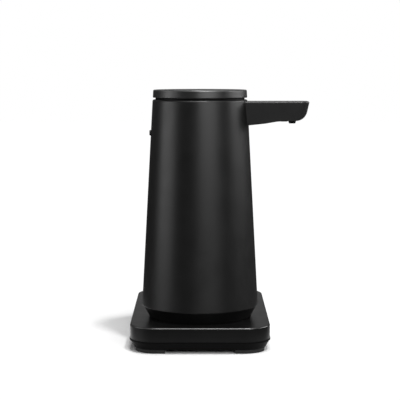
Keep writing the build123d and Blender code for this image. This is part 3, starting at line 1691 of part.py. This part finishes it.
window_seat = spout_under(window_x + window_length / 2) + spout_cover_skin
sensor_board_bottom = window_seat + window_flange_height + emitter_gap + emitter_height
sensor_board_rear = window_x + sensor_board_front - sensor_board_length
sensor_post_x = sensor_board_rear + sensor_post_inset
sensor_post_y = sensor_board_width / 2 - sensor_post_inset
with BuildPart() as spout_lower:
    add(
        spout_slice(
            spout_form(spout_skin + slip_fit, spout_roof, 0), cover_start_x, cover_end_x - slip_fit
        )
    )
    add(spout_form(0, 0, spout_cover_skin), mode=Mode.SUBTRACT)
    for side in (-1, 1):
        with Locations((sensor_post_x, side * sensor_post_y, spout_under(sensor_post_x) + slip_fit)):
            Cylinder(
                sensor_post_radius,
                sensor_board_bottom - spout_under(sensor_post_x) - slip_fit,
                align=LOW,
            )
    with Locations((nozzle_x, 0, spout_top - spout_root_height)):
        Cylinder(
            nozzle_top_radius + slip_fit, spout_root_height, align=LOW, mode=Mode.SUBTRACT
        )
    with BuildSketch(Plane.XY.offset(spout_top - spout_root_height)):
        with Locations((window_x, 0)):
            RectangleRounded(
                window_length + 2 * slip_fit, window_width + 2 * slip_fit, window_corner + slip_fit
            )
    extrude(amount=spout_root_height, mode=Mode.SUBTRACT)
    with Locations(*[(x, y, boss_seat) for x, y in boss_places]):
        Cylinder(boss_head_radius + slip_fit, spout_cover_skin, align=HIGH, mode=Mode.SUBTRACT)
        Cylinder(boss_screw_radius + slip_fit, spout_cover_skin, align=LOW, mode=Mode.SUBTRACT)
finish(spout_lower, "spout_lower")

with BuildPart() as spout_screws:
    ear_head_x = spout_root_x - slip_fit - lug_thickness - tapping_head_height
    with Locations(*[(ear_head_x, y, z) for x, y, z in ear_places]):
        add(
            screw_solid(
                tapping_head_radius,
                tapping_head_height,
                ear_screw_radius,
                ear_screw_length,
            ),
            rotation=(0, 90, 0),
        )
    with Locations(*[(x, y, boss_seat - boss_head_height) for x, y in boss_places]):
        add(screw_solid(boss_head_radius, boss_head_height, boss_screw_radius, boss_screw_length))
finish(spout_screws, "spout_screws")

# Nozzle under the spout's tip, and the elbow that feeds it
nozzle_seat = spout_under(nozzle_x + nozzle_flange_radius) + spout_cover_skin
nozzle_shoulder = spout_under(nozzle_x)
elbow_bottom = nozzle_seat + nozzle_flange_height
with BuildPart() as nozzle:
    with Locations((nozzle_x, 0, nozzle_seat)):
        Cylinder(nozzle_flange_radius, nozzle_flange_height, align=LOW)
        Cylinder(nozzle_top_radius, nozzle_seat - nozzle_shoulder, align=HIGH)
    with Locations((nozzle_x, 0, nozzle_shoulder - nozzle_proud)):
        Cone(nozzle_tip_radius, nozzle_top_radius, nozzle_proud, align=LOW)
        Cylinder(
            nozzle_bore, elbow_bottom - nozzle_shoulder + nozzle_proud, align=LOW, mode=Mode.SUBTRACT
        )
finish(nozzle, "nozzle")

spigot_tip_x = nozzle_x - elbow_radius - spigot_length
with BuildPart() as nozzle_elbow:
    with Locations((nozzle_x, 0, elbow_bottom)):
        Cylinder(elbow_radius, elbow_height, align=LOW)
    with BuildSketch(Plane.YZ.offset(spigot_tip_x)):
        with Locations((0, riser_z)):
            Circle(fitting_radius)
    extrude(amount=nozzle_x - spigot_tip_x)
    with BuildSketch(Plane.YZ.offset(spigot_tip_x)):
        with Locations((0, riser_z)):
            Circle(fitting_bore)
    extrude(amount=nozzle_x - spigot_tip_x, mode=Mode.SUBTRACT)
    with Locations((nozzle_x, 0, elbow_bottom)):
        Cylinder(nozzle_bore, riser_z - elbow_bottom, align=LOW, mode=Mode.SUBTRACT)
finish(nozzle_elbow, "nozzle_elbow")

# Sensor: a dark window in the cover, and above it a small board with its emitter and receiver
with BuildPart() as sensor_window:
    with BuildSketch(Plane.XY.offset(spout_under(window_x) - window_proud)):
        with Locations((window_x, 0)):
            RectangleRounded(window_length, window_width, window_corner)
    extrude(amount=window_seat - spout_under(window_x) + window_proud)
    fillet(sensor_window.edges().group_by(Axis.Z)[0], window_round)
    with Locations((window_x, 0, window_seat)):
        Box(window_length, window_width + 2 * window_flange, window_flange_height, align=LOW)
finish(sensor_window, "sensor_window")

with BuildPart() as sensor_board:
    with Locations((sensor_board_rear, 0, sensor_board_bottom)):
        Box(
            sensor_board_length,
            sensor_board_width,
            sensor_board_thickness,
            align=(Align.MIN, Align.CENTER, Align.MIN),
        )
        Box(
            sensor_plug_length,
            sensor_plug_width,
            sensor_plug_height,
            align=(Align.MIN, Align.CENTER, Align.MAX),
        )
    with Locations(*[(window_x, side * emitter_spread, sensor_board_bottom) for side in (-1, 1)]):
        Cylinder(emitter_radius, emitter_height, align=HIGH)
finish(sensor_board, "sensor_board")

# Hoses and leads, each along its real route
riser_route = [
    (riser_start_x, -track_middle, port_height),
    (25, -track_middle, port_height),
    (31, -13, 90),
    (riser_x, 0, 125),
    (riser_x, 0, riser_z),
    (nozzle_x - elbow_radius - hose_gap, 0, riser_z),
]
with BuildPart() as riser_tube:
    add(hose("riser_tube", riser_route, hose_radius, hose_bore, riser_bend_limit))
finish(riser_tube, "riser_tube")

socket_face_x = -board_inner_x + socket_depth + lead_end_gap
sensor_lead_z = sensor_board_bottom - lead_radius
sensor_rise_x = tank_flat_x + sensor_rise_gap
sensor_lead_route = [
    (socket_face_x, 3 * socket_pitch / 2, socket_z),
    (-14, 14, 50),
    (4, 18, 50),
    (22, 19, 52),
    (29.5, 16, 62),
    (sensor_rise_x, 8, 100),
    (sensor_rise_x, 6, 165),
    (sensor_rise_x + lead_radius, 6, 170),
    (sensor_rise_x + 4 * lead_radius, 5.5, sensor_lead_z),
    (46, 0, sensor_lead_z),
    (sensor_board_rear - lead_end_gap, 0, sensor_lead_z),
]
with BuildPart() as sensor_lead:
    add(hose("sensor_lead", sensor_lead_route, lead_radius, 0, lead_bend_limit))
finish(sensor_lead, "sensor_lead")

battery_lead_y = holder_half_length - holder_end_wall
button_lead_x = tank_channel_x + button_lead_gap
rear_lead_x = (pump_outer_radius - pump_x + shell_bore(chassis_top)) / 2
harness_routes = {
    "battery lead": [
        (cell_x, -battery_lead_y, holder_top + lead_end_gap),
        (cell_x, -battery_lead_y, 44),
        (-15, -14, 48),
        (socket_face_x, -3 * socket_pitch / 2, socket_z),
    ],
    "contact lead": [
        (pin_x, -pin_pitch / 2, cover_floor_top + contact_flange + lead_end_gap),
        (6, -4, 44),
        (-12, -4, 48),
        (socket_face_x, -socket_pitch / 2, socket_z),
    ],
    "motor lead": [
        (12.8, 4, 27.2),
        (8.5, 4, 28),
        (8, 4, 44),
        (-12, 4, 48),
        (socket_face_x, socket_pitch / 2, socket_z),
    ],
    "button lead": [
        (
            -button_board_x + board_thickness / 2,
            0,
            button_z - button_board_tall / 2 - lead_end_gap,
        ),
        (-button_lead_x, 0, 130),
        (-button_lead_x - lead_radius, 0, 104),
        (-rear_lead_x, 0, 88),
        (-rear_lead_x, 0, 80),
        (-rear_lead_x + lead_radius, 0, 73.5),
        (
            -board_outer_x - socket_depth / 2,
            0,
            control_board_top - socket_height / 2 + lead_end_gap,
        ),
    ],
}
with BuildPart() as harness:
    for name, route in harness_routes.items():
        add(hose(name, route, thin_lead_radius, 0, lead_bend_limit))
finish(harness, "harness")
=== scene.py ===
import json
import math

import bpy
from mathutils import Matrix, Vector


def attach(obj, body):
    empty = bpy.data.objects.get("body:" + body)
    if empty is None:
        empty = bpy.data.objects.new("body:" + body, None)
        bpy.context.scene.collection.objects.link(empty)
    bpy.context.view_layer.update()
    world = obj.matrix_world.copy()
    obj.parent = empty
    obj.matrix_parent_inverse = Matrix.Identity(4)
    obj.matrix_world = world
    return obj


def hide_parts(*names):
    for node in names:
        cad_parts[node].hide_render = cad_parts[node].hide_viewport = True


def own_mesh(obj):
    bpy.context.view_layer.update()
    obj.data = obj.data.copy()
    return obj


# Looks of the automatic soap dispenser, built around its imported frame.
# Lengths are metres. The spout points along +X and the photograph looks along +Y.
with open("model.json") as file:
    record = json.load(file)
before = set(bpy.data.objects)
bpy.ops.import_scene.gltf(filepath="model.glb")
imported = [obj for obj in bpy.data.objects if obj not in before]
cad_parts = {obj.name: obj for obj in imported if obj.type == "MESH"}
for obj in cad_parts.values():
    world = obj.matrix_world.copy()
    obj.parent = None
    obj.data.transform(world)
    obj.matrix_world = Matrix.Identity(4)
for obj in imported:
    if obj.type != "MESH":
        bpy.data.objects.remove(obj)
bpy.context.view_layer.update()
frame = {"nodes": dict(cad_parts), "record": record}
nodes = frame["nodes"]

# Camera, worked out from the photograph. It stands straight in front of the casing's axis.
IMAGE_SIDE = 400
FOCAL_PIXELS = 1308
SENSOR_MM = 36
CAMERA_BACK = 1.02
CAMERA_HEIGHT = 0.2159
CAMERA_TILT = 0.102

# Every lamp is this far from the middle of the dispenser's casing, and faces it
LAMP_TARGET = Vector((0, 0, 0.105))
LAMP_DISTANCE = 1.5

# Floor, large enough to reach out of every view
FLOOR_SIZE = 8.0

# Rectangle around the base and its shadow, by its middle and half its size. Inside it the floor is pale
# paper. Outside, over the fade's distance, it turns to dark paper that glows white where it is seen.
PAPER_MIDDLE = (-0.015, 0.033, 0)
PAPER_HALF = (0.065, 0.08, 1)
FADE_START = 0.01
FADE_END = 0.07
PALE_PAPER = 0.85
DARK_PAPER = 0.04

# The world is white where it is seen, and this grey as light from all sides
WORLD_FILL = 0.15

# What reflections see of the world: a backdrop round +Y, by the cosine of the angle from there, a ceiling,
# by the sine of the angle above the floor, and a low level elsewhere
BACKDROP = 1.0
BACKDROP_EDGE = 0.988
BACKDROP_FULL = 0.9995
CEILING = 0.5
CEILING_EDGE = 0.25
CEILING_FULL = 0.8
SURROUND = 0.1

# Noises that every surface shares, in patches per metre: the first varies its colour and the second its
# roughness. What lies between low and high is spread over the whole range.
PATCH_SCALE = 28
SMEAR_SCALE = 70
PATCH_DETAIL = 3
PATCH_LOW = 0.35
PATCH_HIGH = 0.65

# The relief's noise also draws the colour towards its darker tint, by up to this share
GRAIN_DETAIL = 4
GRAIN_SHADE = 0.5

# The relief's depths are given in micrometres
MICROMETRE = 0.000001

# Largest product of a rise and what it lacks to 1, which a rounded edge passes through
EDGE_PEAK = 0.25


def make_camera():
    """The camera at the photograph's angle."""
    data = bpy.data.cameras.new("camera")
    data.sensor_width = SENSOR_MM
    data.lens = FOCAL_PIXELS * SENSOR_MM / IMAGE_SIDE
    data.clip_end = 2 * FLOOR_SIZE
    camera = bpy.data.objects.new("camera", data)
    camera.location = (0, -CAMERA_BACK, CAMERA_HEIGHT)
    camera.rotation_euler = (math.pi / 2 - CAMERA_TILT, 0, 0)
    bpy.context.scene.collection.objects.link(camera)
    bpy.context.scene.camera = camera


def hang(data, azimuth, elevation):
    """Put a light in the scene, from degrees. Azimuth 0 is the camera's side and 90 the spout's."""
    turn = math.radians(azimuth)
    rise = math.radians(elevation)
    out = Vector((math.sin(turn) * math.cos(rise), -math.cos(turn) * math.cos(rise), math.sin(rise)))
    lamp = bpy.data.objects.new(data.name, data)
    lamp.location = LAMP_TARGET + out * LAMP_DISTANCE
    lamp.rotation_euler = (-out).to_track_quat("-Z", "Y").to_euler()
    lamp.visible_camera = False
    bpy.context.scene.collection.objects.link(lamp)


def make_key(name, azimuth, elevation, spread, strength):
    """A soft key light with nearly parallel rays, which lights the floor evenly. Spread is in degrees."""
    data = bpy.data.lights.new(name, "SUN")
    data.angle = math.radians(spread)
    data.energy = strength
    hang(data, azimuth, elevation)


def make_lamp(name, azimuth, elevation, width, height, power):
    """A soft box that faces the dispenser."""
    data = bpy.data.lights.new(name, "AREA")
    data.shape = "RECTANGLE"
    data.size = width
    data.size_y = height
    data.energy = power
    hang(data, azimuth, elevation)


class Graph:
    """A node tree that is filled from short calls."""

    def __init__(self, tree):
        self.tree = tree

    def add(self, kind, values=(), **settings):
        """A node with its settings and its inputs' values. A value that is an output socket is linked."""
        node = self.tree.nodes.new(kind)
        for key, value in settings.items():
            setattr(node, key, value)
        for key, value in dict(values).items():
            self.put(node, key, value)
        return node

    def put(self, node, key, value):
        """Set one input, or link it where the value is an output socket."""
        if isinstance(value, bpy.types.NodeSocket):
            self.tree.links.new(value, node.inputs[key])
        else:
            node.inputs[key].default_value = value

    def mix(self, factor, low, high):
        """Colour between low and high."""
        node = self.add("ShaderNodeMix", data_type="RGBA")
        self.put(node, 0, factor)
        self.put(node, 6, low)
        self.put(node, 7, high)
        return node.outputs[2]

    def spread(self, value, low, high, start=0.0, end=1.0):
        """Value between start and end spread over low to high."""
        node = self.add("ShaderNodeMapRange", {0: value, 1: start, 2: end, 3: low, 4: high})
        return node.outputs[0]

    def number(self, operation, first, second=0.0):
        """Result of one operation on numbers."""
        return self.add("ShaderNodeMath", {0: first, 1: second}, operation=operation).outputs[0]

    def vector(self, operation, first, second=(0, 0, 0)):
        """Result of one operation on vectors."""
        return self.add("ShaderNodeVectorMath", {0: first, 1: second}, operation=operation).outputs["Vector"]

    def noise(self, scale, detail):
        """Noise over the object, with scale in patches per metre."""
        place = self.add("ShaderNodeTexCoord").outputs["Object"]
        node = self.add("ShaderNodeTexNoise", {"Vector": place, "Scale": scale, "Detail": detail})
        return node.outputs["Fac"]


def new_graph(data):
    """The empty node tree of a new material or world."""
    data.use_nodes = True
    data.node_tree.nodes.clear()
    return Graph(data.node_tree)


def grey(value, warmth=0.0):
    """A near-neutral colour as a shader takes it. Warmth lifts the red and lowers the blue."""
    return (value * (1 + warmth), value, value * (1 - warmth), 1)


def surface(name, colour, mottle, roughness, smear, grain, relief, **fixed):
    """A material whose colour, roughness and relief all come from noise.
    Mottle is the share by which the colour varies, and smear how much the roughness varies. Grain is the
    relief's patches per metre and relief its depth in micrometres. Fixed are plain shader values."""
    material = bpy.data.materials.new(name)
    graph = new_graph(material)
    cloud = graph.noise(PATCH_SCALE, PATCH_DETAIL)
    wipe = graph.noise(SMEAR_SCALE, PATCH_DETAIL)
    height = graph.noise(grain, GRAIN_DETAIL)
    low = tuple(part * (1 - mottle) for part in colour[:3]) + (1,)
    high = tuple(part * (1 + mottle) for part in colour[:3]) + (1,)
    tint = graph.mix(graph.spread(cloud, 0, 1, PATCH_LOW, PATCH_HIGH), low, high)
    tint = graph.mix(graph.spread(height, 0, GRAIN_SHADE), tint, low)
    shine = graph.spread(wipe, roughness - smear, roughness + smear, PATCH_LOW, PATCH_HIGH)
    bump = graph.add("ShaderNodeBump", {"Height": height, "Distance": relief * MICROMETRE})
    shader = graph.add("ShaderNodeBsdfPrincipled", {"Base Color": tint, "Roughness": shine})
    graph.put(shader, "Normal", bump.outputs[0])
    for key, value in fixed.items():
        graph.put(shader, key.replace("_", " "), value)
    graph.add("ShaderNodeOutputMaterial", {"Surface": shader.outputs[0]})
    return material


def polish_edges(material, flat, rounded):
    """Give a moulding's rounded edges another specular level than its flat faces and its upright walls."""
    graph = Graph(material.node_tree)
    facing = graph.add("ShaderNodeTexCoord").outputs["Normal"]
    rise = graph.add("ShaderNodeSeparateXYZ", {0: facing}).outputs[2]
    rise = graph.number("ABSOLUTE", rise)
    edge = graph.number("MULTIPLY", rise, graph.number("SUBTRACT", 1.0, rise))
    shader = next(node for node in material.node_tree.nodes if node.type == "BSDF_PRINCIPLED")
    graph.put(shader, "Specular IOR Level", graph.spread(edge, flat, rounded, 0, EDGE_PEAK))


def casing_material():
    """Fine-grained matt black plastic of the tapered casing."""
    return surface(
        "casing_black", grey(0.003), mottle=0.08, roughness=0.37, smear=0.02, grain=2600, relief=10,
        Specular_IOR_Level=0.4,
    )


def lid_material():
    """Satin black plastic of the lid, a shade lighter than the casing, with a shinier rim."""
    material = surface(
        "lid_black", grey(0.006), mottle=0.08, roughness=0.39, smear=0.03, grain=2200, relief=10
    )
    polish_edges(material, flat=0.36, rounded=1.5)
    return material


def spout_material():
    """Satin black plastic of the spout."""
    return surface(
        "spout_black", grey(0.018), mottle=0.08, roughness=0.32, smear=0.03, grain=2600, relief=10,
        Specular_IOR_Level=0.4,
    )


def deck_material():
    """Semi-gloss black plastic of the base's upper housing, with a shinier edge."""
    material = surface(
        "deck_black", grey(0.003), mottle=0.06, roughness=0.295, smear=0.015, grain=2400, relief=1
    )
    polish_edges(material, flat=0.25, rounded=0.95)
    return material


def lower_material():
    """Matt black plastic of the base's lower housing."""
    return surface(
        "lower_black", grey(0.002), mottle=0.1, roughness=0.5, smear=0.04, grain=1800, relief=10,
        Specular_IOR_Level=0.04,
    )


def foot_material():
    """Dull black plastic of the foot under the casing."""
    return surface(
        "foot_black", grey(0.003), mottle=0.1, roughness=0.5, smear=0.04, grain=1800, relief=10,
        Specular_IOR_Level=0.15,
    )


def collar_material():
    """Dull black plastic of the collar in the groove under the lid."""
    return surface(
        "collar_black", grey(0.003), mottle=0.1, roughness=0.5, smear=0.04, grain=1800, relief=10,
        Specular_IOR_Level=0.1,
    )


def inner_material():
    """Plain dark grey plastic of the inner frames."""
    return surface(
        "inner_grey", grey(0.09), mottle=0.06, roughness=0.5, smear=0.05, grain=1500, relief=20
    )


def gear_material():
    """Natural acetal of the gears and the pump's rotor."""
    return surface(
        "acetal", grey(0.62, 0.06), mottle=0.04, roughness=0.34, smear=0.05, grain=1200, relief=8
    )


def tank_material():
    """Milky polypropylene of the soap tank."""
    return surface(
        "tank_milky", grey(0.7, -0.02), mottle=0.03, roughness=0.34, smear=0.04, grain=900, relief=10,
        Transmission_Weight=0.55,
    )


def fitting_material():
    """White polypropylene of the tube's fittings."""
    return surface(
        "fitting_white", grey(0.75, 0.01), mottle=0.03, roughness=0.34, smear=0.05, grain=1200, relief=10
    )


def nozzle_material():
    """Soft black rubber of the nozzle."""
    return surface(
        "nozzle_rubber", grey(0.006), mottle=0.1, roughness=0.6, smear=0.05, grain=3000, relief=10,
        Specular_IOR_Level=0.3,
    )


def button_material():
    """Semi-gloss black plastic of the button."""
    return surface(
        "button_black", grey(0.004), mottle=0.1, roughness=0.4, smear=0.04, grain=2600, relief=8,
        Specular_IOR_Level=0.2,
    )


def window_material():
    """Smoked plastic over the sensor, polished."""
    return surface(
        "window_smoked", (0.012, 0.006, 0.009, 1),
        mottle=0.1, roughness=0.08, smear=0.02, grain=600, relief=2,
    )


def rubber_material():
    """Matt black rubber of the sole, the foot's ring and the seals."""
    return surface(
        "rubber_black", grey(0.008), mottle=0.12, roughness=0.7, smear=0.05, grain=3200, relief=20,
        Specular_IOR_Level=0.3,
    )


def tube_material():
    """Milky silicone rubber of the soap's tubes."""
    return surface(
        "tube_milky", grey(0.7, 0.03), mottle=0.03, roughness=0.38, smear=0.05, grain=1500, relief=10,
        Subsurface_Weight=0.2,
    )


def lead_material():
    """Dark insulation of the leads."""
    return surface(
        "lead_dark", grey(0.03), mottle=0.1, roughness=0.45, smear=0.05, grain=2200, relief=10
    )


def steel_material():
    """Bright drawn steel of the screws, springs and shafts."""
    return surface(
        "steel_bright", grey(0.55), mottle=0.06, roughness=0.34, smear=0.05, grain=1600, relief=6, Metallic=1
    )


def contact_material():
    """Gilt surface of the contact pins and plates."""
    return surface(
        "gilt", (0.8, 0.58, 0.25, 1),
        mottle=0.05, roughness=0.32, smear=0.04, grain=1600, relief=4, Metallic=1,
    )


def board_material():
    """Green laminate of the circuit boards, under a satin coating."""
    return surface(
        "board_green", (0.012, 0.09, 0.045, 1),
        mottle=0.15, roughness=0.34, smear=0.06, grain=2400, relief=10,
    )


def cell_material():
    """Blue shrink sleeve of the battery cell."""
    return surface(
        "cell_blue", (0.025, 0.09, 0.24, 1), mottle=0.06, roughness=0.33, smear=0.05, grain=900, relief=10
    )


MATERIAL_OF_SLOT = {
    "matt_casing": casing_material,
    "lid": lid_material,
    "spout": spout_material,
    "base_deck": deck_material,
    "base_lower": lower_material,
    "foot": foot_material,
    "collar": collar_material,
    "inner_plastic": inner_material,
    "gear_plastic": gear_material,
    "clear_tank": tank_material,
    "fitting_plastic": fitting_material,
    "nozzle": nozzle_material,
    "button": button_material,
    "window": window_material,
    "rubber": rubber_material,
    "tube_rubber": tube_material,
    "lead": lead_material,
    "steel": steel_material,
    "contact_metal": contact_material,
    "circuit_board": board_material,
    "cell_wrap": cell_material,
}


def dress_nodes():
    """Give every frame node the material of its slot."""
    made = {slot: make() for slot, make in MATERIAL_OF_SLOT.items()}
    for part in frame["record"]["subparts"]:
        for place in nodes[part["node"]].material_slots:
            place.material = made[part["material_slot"]]


def make_spring(number):
    """A contact pin's spring, shown by a copy of its node with a mesh of its own, which hangs on the base.
    """
    name = f"pin_spring_{number}"
    spring = bpy.data.objects.new(f"contact_spring_{number}", nodes[name].data.copy())
    spring.matrix_world = nodes[name].matrix_world
    bpy.context.scene.collection.objects.link(spring)
    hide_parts(name)
    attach(spring, "base")
    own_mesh(spring)


def seen_plainly(graph, path):
    """1 where the camera looks, directly or through a see-through surface, else 0."""
    return graph.number("MAXIMUM", path["Is Camera Ray"], path["Is Transmission Ray"])


def paper_material():
    """Pale paper around the base, which fades to dark paper that glows white where it is seen."""
    material = bpy.data.materials.new("floor_white")
    graph = new_graph(material)
    place = graph.add("ShaderNodeTexCoord").outputs["Object"]
    place = graph.vector("ABSOLUTE", graph.vector("SUBTRACT", place, PAPER_MIDDLE))
    place = graph.vector("MAXIMUM", graph.vector("SUBTRACT", place, PAPER_HALF))
    reach = graph.add("ShaderNodeVectorMath", {0: place}, operation="LENGTH").outputs["Value"]
    fade = graph.spread(reach, 0, 1, FADE_START, FADE_END)
    paper = graph.mix(fade, grey(PALE_PAPER), grey(DARK_PAPER))
    paper = graph.add("ShaderNodeBsdfDiffuse", {"Color": paper})
    path = graph.add("ShaderNodeLightPath").outputs
    white = graph.number("MULTIPLY", seen_plainly(graph, path), fade)
    glow = graph.add("ShaderNodeEmission", {"Color": grey(1), "Strength": white})
    both = graph.add("ShaderNodeAddShader", {0: paper.outputs[0], 1: glow.outputs[0]})
    graph.add("ShaderNodeOutputMaterial", {"Surface": both.outputs[0]})
    return material


def make_floor():
    """Pale floor that keeps the object's shadow and meets the white background."""
    mesh = bpy.data.meshes.new("floor")
    half = FLOOR_SIZE / 2
    corners = [(-half, -half, 0), (half, -half, 0), (half, half, 0), (-half, half, 0)]
    mesh.from_pydata(corners, [], [(0, 1, 2, 3)])
    mesh.materials.append(paper_material())
    floor = bpy.data.objects.new("floor", mesh)
    bpy.context.scene.collection.objects.link(floor)


def make_world():
    """White to the camera, a bright backdrop and a ceiling to reflections, and a grey fill light."""
    world = bpy.data.worlds.new("studio")
    bpy.context.scene.world = world
    graph = new_graph(world)
    path = graph.add("ShaderNodeLightPath").outputs
    place = graph.add("ShaderNodeTexCoord").outputs["Generated"]
    axes = graph.add("ShaderNodeSeparateXYZ", {0: place}).outputs
    behind = graph.spread(axes[1], 0, BACKDROP, BACKDROP_EDGE, BACKDROP_FULL)
    above = graph.spread(axes[2], SURROUND, CEILING, CEILING_EDGE, CEILING_FULL)
    mirrored = graph.number("ADD", behind, above)
    level = graph.mix(path["Is Glossy Ray"], grey(WORLD_FILL), mirrored)
    level = graph.mix(seen_plainly(graph, path), level, grey(1))
    background = graph.add("ShaderNodeBackground", {"Color": level})
    graph.add("ShaderNodeOutputWorld", {"Surface": background.outputs[0]})


bpy.context.scene.view_settings.view_transform = "Standard"
make_camera()
make_world()
make_floor()
make_key("side_key", azimuth=36, elevation=67, spread=5, strength=1.35)
make_key("front_key", azimuth=12, elevation=58, spread=6, strength=0.45)
make_lamp("top_lamp", azimuth=0, elevation=86, width=0.35, height=1.8, power=11)
make_lamp("front_lamp", azimuth=20, elevation=20, width=1.1, height=0.55, power=13)
make_lamp("right_lamp", azimuth=101, elevation=17, width=1.3, height=0.5, power=11)
make_lamp("left_lamp", azimuth=-79, elevation=7, width=1.0, height=0.7, power=6.4)
dress_nodes()
make_spring(1)
make_spring(2)
